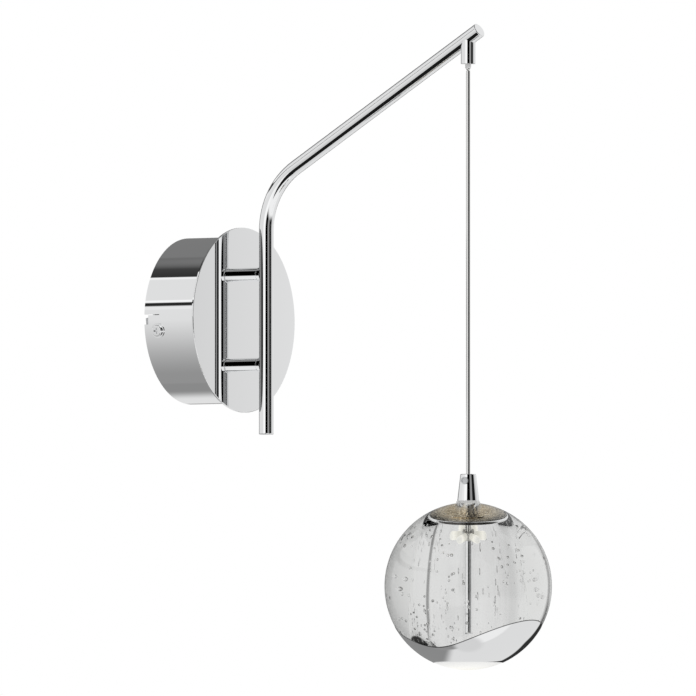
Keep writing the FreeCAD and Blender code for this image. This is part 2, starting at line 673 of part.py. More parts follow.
def outlet_bush():
    """Closes the outlet tube, with a small nose below it whose mouth opens round the bead."""
    bottom = V(0, -OUTLET_DEPTH, OUTLET_BOTTOM_Z)
    mouth = V(0, -OUTLET_DEPTH, MOUTH_Z)
    body = cylinder(OUTLET_BORE - SLIP, bottom, bottom + Z_AXIS * BUSH_LENGTH)
    body = body.fuse(cylinder(NOSE_RADIUS, mouth, bottom))
    body = body.cut(cylinder(CABLE_RADIUS + SLIP, mouth, bottom + Z_AXIS * BUSH_LENGTH))
    return body.cut(Part.makeSphere(CABLE_RADIUS + RUNNING, V(0, -OUTLET_DEPTH, PIVOT_Z))).removeSplitter()


def swivel_bead():
    return Part.makeSphere(CABLE_RADIUS, V(0, -OUTLET_DEPTH, PIVOT_Z))


def pendant_cable():
    """Hangs straight, from just under the bead to inside the grip."""
    top = V(0, -OUTLET_DEPTH, CABLE_TOP_Z)
    cable = cylinder(CABLE_RADIUS, V(0, -OUTLET_DEPTH, CABLE_END_Z), top)
    return cable.makeFillet(CABLE_TOP_ROUND, edges_round(cable, top))


# ---- pendant ----

def grip_radius(drop):
    return GRIP_TOP_RADIUS + (GRIP_BASE_RADIUS - GRIP_TOP_RADIUS) * drop / GRIP_LENGTH


def grip_screw_point(distance):
    angle = math.radians(GRIP_SCREW_AZIMUTH)
    outward = V(math.cos(angle), math.sin(angle), 0)
    return V(0, -OUTLET_DEPTH, GRIP_TOP_Z - GRIP_SCREW_DROP) + outward * distance


def cone_grip():
    base = V(0, -OUTLET_DEPTH, GRIP_BASE_Z)
    top = V(0, -OUTLET_DEPTH, GRIP_TOP_Z)
    cone = Part.makeCone(GRIP_BASE_RADIUS, GRIP_TOP_RADIUS, GRIP_LENGTH, base)
    cone = cone.makeFillet(GRIP_EDGE_ROUND, [edge for edge in cone.Edges if len(edge.Vertexes) == 1])
    cone = cone.cut(cylinder(CABLE_RADIUS + RUNNING, base, top))
    cone = cone.cut(cylinder(GRIP_CHAMBER_RADIUS, base, top - Z_AXIS * (GRIP_SCREW_DROP + GRIP_COLLAR)))
    cone = cone.cut(cylinder(NIPPLE_RADIUS + SLIP, base, base + Z_AXIS * NIPPLE_IN_GRIP))
    outside = grip_screw_point(GRIP_BASE_RADIUS * BEYOND)
    cone = cone.cut(cylinder(GRIP_SCREW_RADIUS + SLIP, grip_screw_point(0), outside))
    seat = grip_screw_point(grip_radius(GRIP_SCREW_DROP) - GRIP_HEAD_DISH)
    return cone.cut(cylinder(GRIP_HEAD_RADIUS + SLIP, seat, outside))


def grip_screw():
    """Clamping screw of the grip. Its tip stops just short of the cable."""
    tip = grip_screw_point(CABLE_RADIUS + RUNNING)
    seat = grip_screw_point(grip_radius(GRIP_SCREW_DROP) - GRIP_HEAD_DISH)
    outward = (seat - tip).normalize()
    top = seat + outward * GRIP_HEAD_THICK
    head = cylinder(GRIP_HEAD_RADIUS, seat, top)
    head = head.cut(cylinder(GRIP_HEAD_DISH_RADIUS, top - outward * GRIP_HEAD_DISH, top))
    return head.fuse(cylinder(GRIP_SCREW_RADIUS, tip, seat)).removeSplitter()


def top_seal():
    top = on_axis(BALL_DROP)
    washer = ring(SEAL_RADIUS, NIPPLE_RADIUS + SLIP, on_axis(BALL_RADIUS / 2), top)
    return washer.cut(Part.makeSphere(BALL_RADIUS, on_axis(0))).cut(
        cylinder(BALL_HOLE_RADIUS, on_axis(0), on_axis(sphere_height(BALL_RADIUS, BALL_HOLE_RADIUS))))


def threaded_nipple():
    top = on_axis(BALL_DROP + NIPPLE_IN_GRIP)
    return ring(NIPPLE_RADIUS, NIPPLE_BORE, on_axis(NIPPLE_BOTTOM), top)


def glass_bush():
    """Ribbed ring that keeps the nipple off the glass."""
    bush = cylinder(BUSH_OUTER, on_axis(BUSH_BOTTOM), on_axis(BUSH_TOP))
    step = 360 / BUSH_RIB_COUNT
    for i in range(BUSH_RIB_COUNT):
        angle = math.radians(step * i)
        foot = on_axis(BUSH_BOTTOM) + V(math.cos(angle), math.sin(angle), 0) * (BUSH_OUTER - BUSH_RIB / 4)
        rib = cylinder(BUSH_RIB, foot, foot + Z_AXIS * (BUSH_TOP - BUSH_BOTTOM))
        bush = bush.fuse(rib)
    return bush.cut(cylinder(NIPPLE_RADIUS + SLIP, on_axis(BUSH_BOTTOM), on_axis(BUSH_TOP))).removeSplitter()


def neck_sleeve():
    """Bright sleeve round the nipple, between the ribbed ring and the gold-coloured plate."""
    return ring(NECK_RADIUS, NIPPLE_RADIUS + SLIP, on_axis(SPREADER_TOP), on_axis(BUSH_BOTTOM))


def ceiling_gasket():
    return ring(GASKET_RADIUS, NECK_RADIUS + SLIP, on_axis(SPREADER_TOP), on_axis(CEILING))


def heat_spreader():
    return ring(SPREADER_RADIUS, NIPPLE_RADIUS + SLIP, on_axis(SPREADER_BOTTOM), on_axis(SPREADER_TOP))


def led_hub():
    """Six-sided hub on the centre tube, with an LED on each side."""
    hub = hexagon(HUB_FLATS, TUBE_RADIUS + SLIP, on_axis(HUB_TOP - HUB_HEIGHT), on_axis(HUB_TOP))
    return about_pendant(hub, LED_AZIMUTH - 180 / LED_COUNT)


def led_turns():
    return [LED_AZIMUTH + 360 / LED_COUNT * i for i in range(LED_COUNT)]


def led_chip(turn):
    seat = pendant_point(HUB_FLATS / 2, HUB_MIDDLE)
    half = CHIP_SIDE / 2
    chip = block(seat + V(0, -half, -half), seat + V(CHIP_THICK, half, half))
    return about_pendant(chip, turn)


def led_lens(turn):
    """A long drop of clear resin over one LED, which points away from the hub like a petal."""
    seat = pendant_point(HUB_FLATS / 2, HUB_MIDDLE)
    base = seat + Z_AXIS * LED_LENS_BASE_RADIUS
    round_middle = seat + V(LED_LENS_LENGTH - LED_LENS_WIDE_RADIUS, 0, 0)
    wide = round_middle + Z_AXIS * LED_LENS_WIDE_RADIUS
    shoulder = round_middle + V(1, 0, 1).normalize() * LED_LENS_WIDE_RADIUS
    tip = seat + V(LED_LENS_LENGTH, 0, 0)
    pocket_end = seat + V(CHIP_THICK + SLIP, 0, 0)
    pocket_side = Z_AXIS * (math.hypot(CHIP_SIDE, CHIP_SIDE) / 2 + SLIP)
    edges = [line(seat + pocket_side, base),
             line(base, wide),
             arc(wide, shoulder, tip),
             line(tip, pocket_end),
             line(pocket_end, pocket_end + pocket_side),
             line(pocket_end + pocket_side, seat + pocket_side)]
    return about_pendant(revolved(edges, seat, V(1, 0, 0)), turn)


def nipple_nut():
    return hexagon(PLATE_NUT_FLATS, NIPPLE_RADIUS + SLIP, on_axis(NUT_BOTTOM), on_axis(SPREADER_BOTTOM))


def tube_plug():
    """Closes the nipple's lower end and carries the centre tube. The two wires pass through it."""
    plug = ring(NIPPLE_BORE - SLIP, TUBE_RADIUS, on_axis(NIPPLE_BOTTOM), on_axis(NIPPLE_BOTTOM + PLUG_THICK))
    for side in (-1, 1):
        foot = pendant_point(side * PENDANT_WIRE_OFFSET, NIPPLE_BOTTOM)
        plug = plug.cut(cylinder(PENDANT_WIRE_RADIUS + SLIP, foot, foot + Z_AXIS * PLUG_THICK))
    return plug


def centre_tube():
    return ring(TUBE_RADIUS, TUBE_RADIUS - TUBE_WALL, on_axis(TUBE_BOTTOM + TIP_SHOULDER),
                on_axis(NIPPLE_BOTTOM + PLUG_THICK))


def centre_tube_tip():
    shoulder = on_axis(TUBE_BOTTOM + TIP_SHOULDER)
    disc = cylinder(TUBE_RADIUS, on_axis(TUBE_BOTTOM), shoulder)
    disc = disc.makeFillet(TIP_SHOULDER / 2, edges_round(disc, on_axis(TUBE_BOTTOM)))
    spigot = cylinder(TUBE_RADIUS - TUBE_WALL - SLIP, shoulder, shoulder + Z_AXIS * TIP_LENGTH)
    return disc.fuse(spigot).removeSplitter()


def pendant_wire(side):
    """One of two wires, from under the cable's end to the hub."""
    start = V(side * PENDANT_WIRE_OFFSET / 3, -OUTLET_DEPTH, CABLE_END_Z - AIR)
    lead_in = start - Z_AXIS * PENDANT_WIRE_BEND * 2
    bore_top = pendant_point(side * PENDANT_WIRE_OFFSET, BALL_DROP)
    end = pendant_point(side * PENDANT_WIRE_OFFSET, HUB_TOP)
    return pipe([start, lead_in, bore_top, end], [PENDANT_WIRE_BEND, PENDANT_WIRE_BEND], PENDANT_WIRE_RADIUS)


def glass_ball():
    """Thick ball with a bell-shaped hollow, a hole at the top and a stepped opening at the bottom."""
    hole_top = sphere_height(BALL_RADIUS, BALL_HOLE_RADIUS)
    opening = -sphere_height(BALL_RADIUS, LENS_SEAT_RADIUS)
    points = {
        "hole_top": pendant_point(BALL_HOLE_RADIUS, hole_top),
        "side": pendant_point(BALL_RADIUS, 0),
        "rim": pendant_point(LENS_SEAT_RADIUS, opening),
        "seat_out": pendant_point(LENS_SEAT_RADIUS, LENS_SEAT),
        "seat_in": pendant_point(OPENING_RADIUS, LENS_SEAT),
        "floor": pendant_point(OPENING_RADIUS, CAVITY_FLOOR),
        "low": pendant_point(CAVITY_LOW_RADIUS, CAVITY_LOW),
        "wide": pendant_point(CAVITY_WIDE_RADIUS, CAVITY_WIDE),
        "mid": pendant_point(CAVITY_MID_RADIUS, CAVITY_MID),
        "top": pendant_point(CAVITY_TOP_RADIUS, CEILING),
        "hole_low": pendant_point(BALL_HOLE_RADIUS, CEILING),
    }
    bell_low = arc(points["floor"], points["low"], points["wide"])
    bell_high = arc(points["wide"], points["mid"], points["top"])
    edges = [arc(points["hole_top"], points["side"], points["rim"]),
             line(points["rim"], points["seat_out"]),
             line(points["seat_out"], points["seat_in"]),
             line(points["seat_in"], points["floor"]),
             bell_low,
             bell_high,
             line(points["top"], points["hole_low"]),
             line(points["hole_low"], points["hole_top"])]
    ball = revolved(edges, on_axis(0), Z_AXIS)
    ceiling_edge = [edge for edge in ball.Edges
                    if abs(edge.BoundBox.XLength - 2 * CAVITY_TOP_RADIUS) < NEAR
                    and abs(edge.BoundBox.ZMin - BALL_Z - CEILING) < NEAR]
    return ball.makeFillet(CAVITY_ROUND, ceiling_edge)


def wave_height(azimuth):
    swing = math.cos(COATING_LOBES * (azimuth - math.radians(COATING_CREST_AZIMUTH)))
    return COATING_MEAN + COATING_WAVE * swing


def wave_edge(radius):
    """A closed line round the ball's axis at one radius, at the height of the coating's wavy edge."""
    points = []
    for i in range(COATING_EDGE_POINTS):
        azimuth = math.radians(COATING_CREST_AZIMUTH) + 2 * math.pi * i / COATING_EDGE_POINTS
        points.append(on_axis(wave_height(azimuth)) + V(math.cos(azimuth), math.sin(azimuth), 0) * radius)
    curve = Part.BSplineCurve()
    curve.interpolate(Points=points, PeriodicFlag=True)
    return curve.toShape()


def mirror_coating():
    """Thin mirrored skin on the outside of the ball, from the wavy edge down to the lens."""
    inner = BALL_RADIUS + SLIP
    outer = inner + COATING_THICK
    low = -sphere_height(BALL_RADIUS, LENS_SEAT_RADIUS)
    wide = V(outer, outer, 0) * BEYOND
    shell = Part.makeSphere(outer, on_axis(0)).cut(Part.makeSphere(inner, on_axis(0)))
    shell = shell.common(block(on_axis(low) - wide, on_axis(0) + wide))
    above_wave = Part.makeRuledSurface(wave_edge(LENS_SEAT_RADIUS / BEYOND), wave_edge(outer * BEYOND))
    skin = shell.cut(above_wave.extrude(Z_AXIS * (2 * outer)))
    return skin.Solids[0]


def bottom_lens():
    """Clear disc in the ball's opening. Its underside carries the ball's curve on."""
    radius = LENS_SEAT_RADIUS - SLIP
    rim = pendant_point(radius, -sphere_height(BALL_RADIUS, radius))
    low_middle = pendant_point(radius / 2, -sphere_height(BALL_RADIUS, radius / 2))
    low = on_axis(-BALL_RADIUS)
    edges = [line(on_axis(LENS_SEAT), pendant_point(radius, LENS_SEAT)),
             line(pendant_point(radius, LENS_SEAT), rim),
             arc(rim, low_middle, low),
             line(low, on_axis(LENS_SEAT))]
    return revolved(edges, on_axis(0), Z_AXIS)


def build():
    os.makedirs("parts", exist_ok=True)
    heights = standoff_heights()
    sides = (-1, 1)
    save("wall_bracket", wall_bracket())
    save("canopy_side_screws", [side_screw(side) for side in sides])
    save("canopy_side_washers", [side_washer(side) for side in sides])
    save("canopy_can", canopy_can())
    save("canopy_face", canopy_face())
    save("led_driver", led_driver())
    save("driver_screws", [small_screw(place, PLATE + DRIVER_TAB_THICK) for place in driver_screw_places()])
    save("terminal_block", terminal_block())
    save("terminal_screws", [terminal_screw(place) for place in terminal_screw_places()])
    save("terminal_block_screws", [small_screw(place, block_screw_front() - SMALL_HEAD_THICK)
                                   for place in block_screw_places()])
    save("earth_screw", small_screw(V(EARTH_X, 0, STRAP_Z), PLATE + TAG_THICK))
    save("earth_tag", earth_tag())
    save("inlet_grommet", inlet_grommet())
    save("live_lead", power_lead(0, -BLOCK_POLE_PITCH / 2))
    save("neutral_lead", power_lead(BLOCK_POLE_PITCH, BLOCK_POLE_PITCH / 2))
    save("earth_lead", earth_lead())
    save("arm_lead", arm_lead())
    save("standoff_upper", standoff(heights[0]))
    save("standoff_lower", standoff(heights[1]))
    save("standoff_washers", [standoff_washer(height) for height in heights])
    save("standoff_nuts", [standoff_nut(height) for height in heights])
    save("arm_tube", arm_tube())
    save("arm_foot_cap", end_cap(ROD_FOOT, V(0, 0, -1)))
    save("arm_tip_cap", end_cap(ARM_TIP, ARM_DIRECTION))
    save("cable_outlet_tube", cable_outlet_tube())
    save("outlet_bush", outlet_bush())
    save("swivel_bead", swivel_bead())
    save("pendant_cable", pendant_cable())
    save("cone_grip", cone_grip())
    save("grip_screw", grip_screw())
    save("top_seal", top_seal())
    save("threaded_nipple", threaded_nipple())
    save("glass_bush", glass_bush())
    save("neck_sleeve", neck_sleeve())
    save("ceiling_gasket", ceiling_gasket())
    save("heat_spreader", heat_spreader())
    save("led_hub", led_hub())
    save("led_chips", [led_chip(turn) for turn in led_turns()])
    save("led_lenses", [led_lens(turn) for turn in led_turns()])
    save("nipple_nut", nipple_nut())
    save("tube_plug", tube_plug())
    save("centre_tube", centre_tube())
    save("centre_tube_tip", centre_tube_tip())
    save("pendant_wires", [pendant_wire(side) for side in sides])
    save("glass_ball", glass_ball())
    save("mirror_coating", mirror_coating())
    save("bottom_lens", bottom_lens())


build()
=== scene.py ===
"""Looks of the hanging pendant wall light, in metres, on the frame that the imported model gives.

The wall is the plane Y = 0, the light stands out towards -Y, and +Z is up. Angles named azimuth are measured
about +Z from +X unless a comment says otherwise.
"""
import bmesh
import bpy
import math
import random
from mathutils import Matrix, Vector


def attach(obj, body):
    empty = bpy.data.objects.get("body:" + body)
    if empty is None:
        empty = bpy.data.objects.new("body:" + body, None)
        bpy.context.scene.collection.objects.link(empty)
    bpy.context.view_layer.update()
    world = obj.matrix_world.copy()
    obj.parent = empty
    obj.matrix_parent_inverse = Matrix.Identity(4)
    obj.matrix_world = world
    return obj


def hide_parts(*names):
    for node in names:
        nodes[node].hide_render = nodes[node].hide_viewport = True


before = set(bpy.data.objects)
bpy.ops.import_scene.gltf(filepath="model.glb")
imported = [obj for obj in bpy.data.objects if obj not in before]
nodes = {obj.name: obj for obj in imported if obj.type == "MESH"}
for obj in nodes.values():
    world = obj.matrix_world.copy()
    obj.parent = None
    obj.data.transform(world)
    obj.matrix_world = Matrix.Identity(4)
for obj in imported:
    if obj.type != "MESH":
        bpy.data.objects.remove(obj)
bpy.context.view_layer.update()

MM = 0.001

# ---- camera: the photograph's view, which shows no perspective ----
IMAGE_SIDE = 696
PIXELS_PER_METRE = 1546.0
CAMERA_AZIMUTH = -146.84       # degrees, direction from the light to the camera
CAMERA_ELEVATION = -2.063
CAMERA_DISTANCE = 16.0
CLIP_START = 0.1
SENSOR = 36.0
AIM_RIGHT = 0.10246            # of the picture's middle, along the picture's right and up directions
AIM_UP = -0.01727
AIM_NEAR = 0.075               # towards the camera, where the picture's scale holds

# ---- the pendant ----
PENDANT_Y = -215 * MM
CABLE_TOP = 157.4 * MM
CABLE_END = -111.9 * MM
CABLE_RADIUS = 1.35 * MM
CABLE_LEAD = 6 * 2 * CABLE_RADIUS
STRAND_COUNT = 8.0
STRAND_TWIST = 5200.0          # radians per metre of cable
BALL_Z = -175.2 * MM
BALL_RADIUS = 54 * MM
BALL_HOLE_RADIUS = 6.8875 * MM
CEILING = 36 * MM              # heights from here are from the middle of the ball
GASKET_POCKET_RADIUS = 12.05 * MM
PLATE_CONTACT = 35.17 * MM     # where the glass lies on the gilt plate
PLATE_RADIUS = 19.2 * MM
CAVITY_TOP_RADIUS = 20.5 * MM
CAVITY_ROUND = 2 * MM
CAVITY_MID_RADIUS = 24.4 * MM
CAVITY_MID = 5 * MM
CAVITY_WIDE_RADIUS = 26.7 * MM
CAVITY_WIDE = -19 * MM
CAVITY_LOW_RADIUS = 25.4 * MM
CAVITY_LOW = -32 * MM
CAVITY_FLOOR = -43.5 * MM
OPENING_RADIUS = 20 * MM
LENS_SEAT_RADIUS = 22 * MM
LENS_SEAT = -47 * MM
COATING_GAP = 0.05 * MM
COATING_THICK = 0.15 * MM
COATING_MEAN = -31.1 * MM
COATING_WAVE = 8.8 * MM
COATING_LOBES = 2
COATING_LINE_CORE = 0.42 * MM  # down to here below the wavy edge the coating is dark
COATING_LINE = 0.7 * MM        # and from here on it is bright
COATING_CREST_AZIMUTH = -88.8  # degrees
COATING_STEPS = 24

FACE_RADIUS = 60 * MM
LED_INNER = 3.5 * MM           # the LED drops, from the pendant's axis
LED_OUTER = 12.4 * MM

BALL_SEGMENTS = 256
OUTSIDE_STEPS = 160
BELL_LOW_STEPS = 24
BELL_HIGH_STEPS = 40
CORNER_STEPS = 8
CORNER_MIDDLE = 0.3            # of CAVITY_ROUND, how far the corner's arc is cut in at its middle
ROUGH_STEPS = 12
SHARP_ANGLE = math.radians(35)
BUBBLE_COUNT = 230
BUBBLE_CLUSTERS = 110
BUBBLE_SPREAD = 3.4 * MM
BUBBLE_SEED = 19
BUBBLE_SMALLEST = 0.6 * MM
BUBBLE_LARGEST = 1.05 * MM
BUBBLE_SIZE_POWER = 1.8        # more small bubbles than large ones
BUBBLE_SKIN = 1.4 * MM         # glass left around each bubble
BUBBLE_GAP = 0.2 * MM
BUBBLE_HEIGHTS = (-34 * MM, 27 * MM)
CLUSTER_FROM_HOLLOW = 2 * MM
CLUSTER_FROM_OUTSIDE = 3 * MM

FLOOR_Z = -0.66
FLOOR_HALF = 6.0
LAMP_AIM = (0, -0.1, 0)
LAMPS = [("key", (-0.9, -1.3, 1.3), 1.0, 9.0),   # name, place, diameter, watts
         ("fill", (1.2, -1.0, 0.6), 1.2, 5.0),
         ("back", (-0.2, 1.2, 1.0), 1.0, 3.0)]


def pendant_axis(height):
    return Vector((0, PENDANT_Y, BALL_Z + height))


# ---- camera ----

def picture_directions():
    """The picture's right and up directions, and the direction towards the camera."""
    azimuth = math.radians(CAMERA_AZIMUTH)
    elevation = math.radians(CAMERA_ELEVATION)
    back = Vector((math.cos(azimuth) * math.cos(elevation),
                   math.sin(azimuth) * math.cos(elevation),
                   math.sin(elevation)))
    right = Vector((-math.sin(azimuth), math.cos(azimuth), 0))
    return right, back.cross(right), back


def make_camera():
    right, up, back = picture_directions()
    data = bpy.data.cameras.new("camera")
    data.sensor_width = SENSOR
    data.lens = SENSOR * CAMERA_DISTANCE / (IMAGE_SIDE / PIXELS_PER_METRE)
    data.clip_start = CLIP_START
    data.clip_end = CAMERA_DISTANCE * 4
    camera = bpy.data.objects.new("camera", data)
    camera.location = right * AIM_RIGHT + up * AIM_UP + back * (AIM_NEAR + CAMERA_DISTANCE)
    camera.rotation_mode = "QUATERNION"
    camera.rotation_quaternion = (-back).to_track_quat("-Z", "Y")
    bpy.context.scene.collection.objects.link(camera)
    bpy.context.scene.camera = camera


# ---- small helpers for node materials ----

class Graph:
    """A node tree with short calls for the nodes used here."""

    def __init__(self, tree):
        self.tree = tree

    def node(self, kind, **settings):
        made = self.tree.nodes.new(kind)
        for name, value in settings.items():
            setattr(made, name, value)
        return made

    def join(self, source, target):
        self.tree.links.new(source, target)

    def feed(self, socket, value):
        if hasattr(value, "is_linked"):
            self.join(value, socket)
        else:
            socket.default_value = value

    def math(self, operation, *values):
        made = self.node("ShaderNodeMath", operation=operation)
        for socket, value in zip(made.inputs, values):
            self.feed(socket, value)
        return made.outputs[0]

    def remap(self, value, low, high, to_low=0.0, to_high=1.0, smooth=True):
        made = self.node("ShaderNodeMapRange", interpolation_type="SMOOTHSTEP" if smooth else "LINEAR")
        for name, number in (("From Min", low), ("From Max", high), ("To Min", to_low), ("To Max", to_high)):
            made.inputs[name].default_value = number
        self.feed(made.inputs["Value"], value)
        return made.outputs[0]

    def ramp(self, value, stops):
        made = self.node("ShaderNodeValToRGB")
        band = made.color_ramp
        while len(band.elements) < len(stops):
            band.elements.new(1.0)
        for element, (place, colour) in zip(band.elements, stops):
            element.position = place
            element.color = colour if hasattr(colour, "__len__") else (colour, colour, colour, 1)
        self.feed(made.inputs["Fac"], value)
        return made.outputs["Color"]

    def mix(self, factor, first, second):
        made = self.node("ShaderNodeMix", data_type="RGBA")
        self.feed(made.inputs["Factor"], factor)
        for name, value in (("A", first), ("B", second)):
            socket = [s for s in made.inputs if s.name == name and s.type == "RGBA"][0]
            self.feed(socket, value)
        return [s for s in made.outputs if s.type == "RGBA"][0]

    def tint(self, value):
        """A grey colour from a number."""
        made = self.node("ShaderNodeCombineColor")
        for channel in made.inputs:
            self.join(value, channel)
        return made.outputs[0]

    def coordinates(self, kind="Object"):
        """A node that gives X, Y and Z of the object's own place, or of the direction for the world."""
        made = self.node("ShaderNodeSeparateXYZ")
        self.join(self.node("ShaderNodeTexCoord").outputs[kind], made.inputs[0])
        return made

    def noise(self, scale, detail=2.0):
        made = self.node("ShaderNodeTexNoise")
        made.inputs["Scale"].default_value = scale
        made.inputs["Detail"].default_value = detail
        self.join(self.node("ShaderNodeTexCoord").outputs["Object"], made.inputs["Vector"])
        return made.outputs[0]

    def cells(self, scale):
        """Distance to the nearest of scattered points."""
        made = self.node("ShaderNodeTexVoronoi")
        made.inputs["Scale"].default_value = scale
        self.join(self.node("ShaderNodeTexCoord").outputs["Object"], made.inputs["Vector"])
        return made.outputs["Distance"]

    def bump(self, height, distance, strength=1.0):
        made = self.node("ShaderNodeBump")
        made.inputs["Distance"].default_value = distance
        made.inputs["Strength"].default_value = strength
        self.join(height, made.inputs["Height"])
        return made.outputs[0]


def principled(name, colour, roughness, metallic=0.0):
    """A new material with its graph and its Principled shader."""
    material = bpy.data.materials.new(name)
    material.use_nodes = True
    graph = Graph(material.node_tree)
    shader = material.node_tree.nodes["Principled BSDF"]
    shader.inputs["Base Color"].default_value = (*colour, 1)
    shader.inputs["Roughness"].default_value = roughness
    shader.inputs["Metallic"].default_value = metallic
    return material, graph, shader


def pendant_turn(graph, place):
    """Angle round the pendant's axis, as a node output, in radians."""
    return graph.math("ARCTAN2", graph.math("SUBTRACT", place.outputs["Y"], PENDANT_Y), place.outputs["X"])


def speckled(graph, shader, colour, scale, depth):
    """Slight uneven tone on a plain colour."""
    tone = graph.remap(graph.noise(scale), 0.3, 0.7, 1 - depth, 1.0)
    light = (*colour, 1)
    dark = (*[channel * 0.5 for channel in colour], 1)
    graph.join(graph.mix(tone, dark, light), shader.inputs["Base Color"])


# ---- materials ----

def chrome():
    material, graph, shader = principled("polished_chrome", (0.93, 0.935, 0.94), 0.03, metallic=1.0)
    wear = graph.noise(90.0, 4.0)
    graph.join(graph.remap(wear, 0.35, 0.75, 0.0, 0.015), shader.inputs["Roughness"])
    return material


def face_chrome():
    """The canopy's mirror face: polished chrome with a painted reflection gradient, a little brighter towards
    +X.
    """
    material, graph, shader = principled("mirror_face_chrome_painted_reflection", (0.93, 0.935, 0.94), 0.01, metallic=1.0)
    place = graph.coordinates()
    # painted reflection: the flat face's base colour brightens towards +X to stand in for the tone its
    # reflection would have
    side = graph.remap(place.outputs["X"], -FACE_RADIUS, FACE_RADIUS, smooth=False)
    graph.join(graph.mix(side, (0.87, 0.875, 0.88, 1), (0.98, 0.985, 0.99, 1)), shader.inputs["Base Color"])
    return material


def cable_jacket():
    """Clear-jacketed steel cable: a bright skin over a fine grey strand."""
    material, graph, shader = principled("clear_jacket_cable", (0.8, 0.8, 0.79), 0.09, metallic=1.0)
    place = graph.coordinates()
    turn = pendant_turn(graph, place)
    strands = graph.math("SINE", graph.math("ADD", graph.math("MULTIPLY", turn, STRAND_COUNT),
                                            graph.math("MULTIPLY", place.outputs["Z"], STRAND_TWIST)))
    tone = graph.remap(strands, -1.0, 1.0, smooth=False)
    graph.join(graph.mix(tone, (0.74, 0.74, 0.73, 1), (0.86, 0.86, 0.85, 1)), shader.inputs["Base Color"])
    shader.inputs["Coat Weight"].default_value = 0.5
    shader.inputs["Coat Roughness"].default_value = 0.03
    return material


def zinc_steel():
    material, graph, shader = principled("zinc_plated_steel", (0.6, 0.61, 0.62), 0.38, metallic=1.0)
    graph.join(graph.remap(graph.cells(160.0), 0.0, 1.0, 0.3, 0.46), shader.inputs["Roughness"])
    return material


def brass():
    material, graph, shader = principled("brass", (0.72, 0.55, 0.26), 0.25, metallic=1.0)
    graph.join(graph.remap(graph.noise(300.0), 0.3, 0.7, 0.2, 0.32), shader.inputs["Roughness"])
    return material


def plastic(name, colour, roughness):
    material, graph, shader = principled(name, colour, roughness)
    speckled(graph, shader, colour, 220.0, 0.06)
    graph.join(graph.bump(graph.noise(1500.0, 3.0), 0.03 * MM, 0.5), shader.inputs["Normal"])
    return material


def pendant_radius(graph):
    """Distance from the pendant's axis, as a node output, in metres."""
    place = graph.coordinates()
    across = graph.math("POWER", graph.math("ABSOLUTE", place.outputs["X"]), 2.0)
    outward = graph.math("ABSOLUTE", graph.math("SUBTRACT", place.outputs["Y"], PENDANT_Y))
    along = graph.math("POWER", outward, 2.0)
    return graph.math("SQRT", graph.math("ADD", across, along))


def gilt():
    """Gold foil with a fine hammered grain, duller towards its dark rim, seen through the glass."""
    material, graph, shader = principled("gilt_foil", (0.62, 0.5, 0.3), 0.26, metallic=1.0)
    radius = pendant_radius(graph)
    grain = graph.cells(900.0)
    colour = graph.ramp(grain, [(0.0, (1.0, 0.96, 0.82, 1)),
                                (0.3, (0.92, 0.8, 0.58, 1)),
                                (0.62, (0.5, 0.39, 0.24, 1))])
    dull = graph.remap(radius, 0.5 * PLATE_RADIUS, 0.95 * PLATE_RADIUS)
    colour = graph.mix(graph.math("MULTIPLY", dull, 0.6), colour, (0.6, 0.58, 0.52, 1))
    rim = graph.remap(radius, 0.965 * PLATE_RADIUS, 0.985 * PLATE_RADIUS)
    colour = graph.mix(rim, colour, (0.05, 0.045, 0.04, 1))
    graph.join(colour, shader.inputs["Base Color"])
    graph.join(graph.bump(grain, 0.25 * MM), shader.inputs["Normal"])
    return material


def lens_glow():
    """Clear drops over the LEDs, brightest at their outer ends."""
    material, graph, shader = principled("led_lens_glow", (0.1, 0.1, 0.09), 0.5)
    radius = pendant_radius(graph)
    tone = graph.ramp(graph.remap(radius, LED_INNER, LED_OUTER, smooth=False),
                      [(0.0, (0.66, 0.65, 0.6, 1)), (0.35, (0.72, 0.71, 0.64, 1)), (0.7, (1.0, 0.98, 0.9, 1)),
                       (1.0, (0.8, 0.8, 0.76, 1))])
    graph.join(tone, shader.inputs["Emission Color"])
    shader.inputs["Emission Strength"].default_value = 0.9
    return material


def glowing(name, colour, strength):
    # an emissive part: on the LED chips this is the lamp itself, on the glass bush it is painted light
    material, graph, shader = principled(name, colour, 0.4)
    warm = graph.noise(400.0)
    tone = graph.mix(graph.remap(warm, 0.3, 0.7), (*colour, 1), (1.0, 1.0, 1.0, 1))
    graph.join(tone, shader.inputs["Emission Color"])
    shader.inputs["Emission Strength"].default_value = strength
    return material


def clear_glass():
    """Clear glass that tones light very slightly on its way through."""
    material, graph, shader = principled("bubbled_glass", (1.0, 1.0, 1.0), 0.0)
    shader.inputs["Transmission Weight"].default_value = 1.0
    shader.inputs["IOR"].default_value = 1.5
    absorb = graph.node("ShaderNodeVolumeAbsorption")
    absorb.inputs["Color"].default_value = (0.86, 0.87, 0.85, 1)
    absorb.inputs["Density"].default_value = 6.0
    output = [n for n in material.node_tree.nodes if n.type == "OUTPUT_MATERIAL"][0]
    graph.join(absorb.outputs[0], output.inputs["Volume"])
    return material


def mirror_skin():
    """Mirror coating with a thin dark line along its wavy edge."""
    material, graph, shader = principled("mirror_skin", (0.9, 0.905, 0.91), 0.03, metallic=1.0)
    place = graph.coordinates()
    turn = pendant_turn(graph, place)
    phase = graph.math("MULTIPLY", graph.math("SUBTRACT", turn, math.radians(COATING_CREST_AZIMUTH)),
                       float(COATING_LOBES))
    wave = graph.math("ADD", graph.math("MULTIPLY", graph.math("COSINE", phase), COATING_WAVE),
                      COATING_MEAN + BALL_Z)
    depth = graph.math("SUBTRACT", wave, place.outputs["Z"])
    edge = graph.remap(depth, COATING_LINE_CORE, COATING_LINE)
    graph.join(graph.mix(edge, (0.1, 0.1, 0.1, 1), (0.9, 0.905, 0.91, 1)), shader.inputs["Base Color"])
    graph.join(graph.remap(graph.noise(40.0), 0.35, 0.7, 0.02, 0.06), shader.inputs["Roughness"])
    return material


